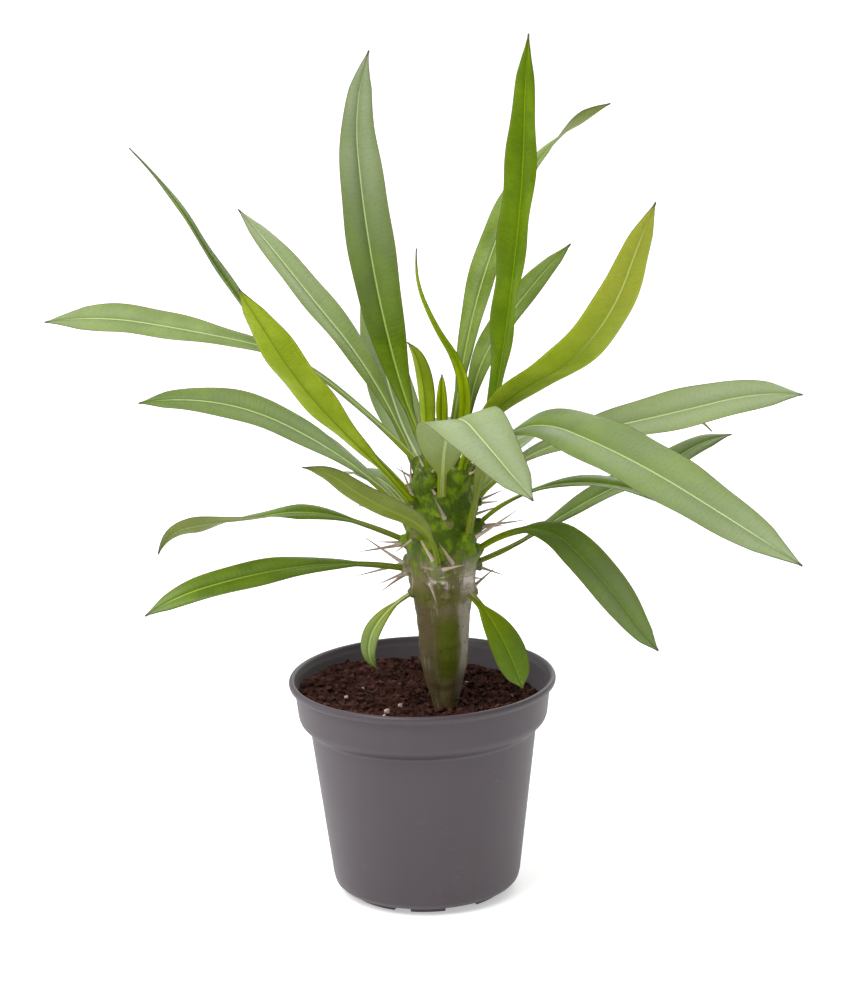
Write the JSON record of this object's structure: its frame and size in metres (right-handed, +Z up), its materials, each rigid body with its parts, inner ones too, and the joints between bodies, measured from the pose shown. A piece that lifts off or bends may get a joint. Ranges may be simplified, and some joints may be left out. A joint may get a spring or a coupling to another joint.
{
  "type": "potted pachypodium",
  "caption": "Young pachypodium with a spiny swollen trunk and a crown of long waved leaves, rooted in peat in a round plastic nursery pot.",
  "frame": {"origin": "centre of the pot's underside, on the plane that the pot stands on", "axes": "+Z up along the pot's axis; the side that the picture shows faces -Y, with +X to its right"},
  "size_m": [0.3417, 0.2532, 0.3901],
  "materials": {
    "pot_plastic": "satin",
    "peat": "matte",
    "trunk_skin": "satin",
    "leaf_green": "satin",
    "leaf_yellow_green": "satin"
  },
  "bodies": {
    "root": {"pot": "pot_plastic", "soil": "peat", "trunk": "trunk_skin", "leaf_back_short": "leaf_green", "leaf_front_folded": "leaf_green", "leaf_front_large": "leaf_green", "leaf_left_bottom": "leaf_green", "leaf_left_curled": "leaf_green", "leaf_left_far": "leaf_green", "leaf_left_front": "leaf_green", "leaf_left_high": "leaf_green", "leaf_left_middle": "leaf_green", "leaf_left_slim": "leaf_green", "leaf_left_yellow": "leaf_yellow_green", "leaf_low_left": "leaf_green", "leaf_low_right": "leaf_green", "leaf_rear_high": "leaf_green", "leaf_rear_left": "leaf_green", "leaf_rear_middle": "leaf_green", "leaf_rear_right": "leaf_green", "leaf_right_hidden": "leaf_green", "leaf_right_low": "leaf_green", "leaf_right_middle": "leaf_green", "leaf_right_pale": "leaf_green", "leaf_right_slim": "leaf_green", "leaf_right_yellow": "leaf_yellow_green", "leaf_tall_back": "leaf_green", "leaf_tall_left": "leaf_green", "leaf_tall_right": "leaf_green", "leaf_tall_shaded": "leaf_green", "leaf_young_hooked": "leaf_yellow_green", "leaf_young_short": "leaf_yellow_green", "leaf_young_thin": "leaf_yellow_green"}
  },
  "joints": []
}
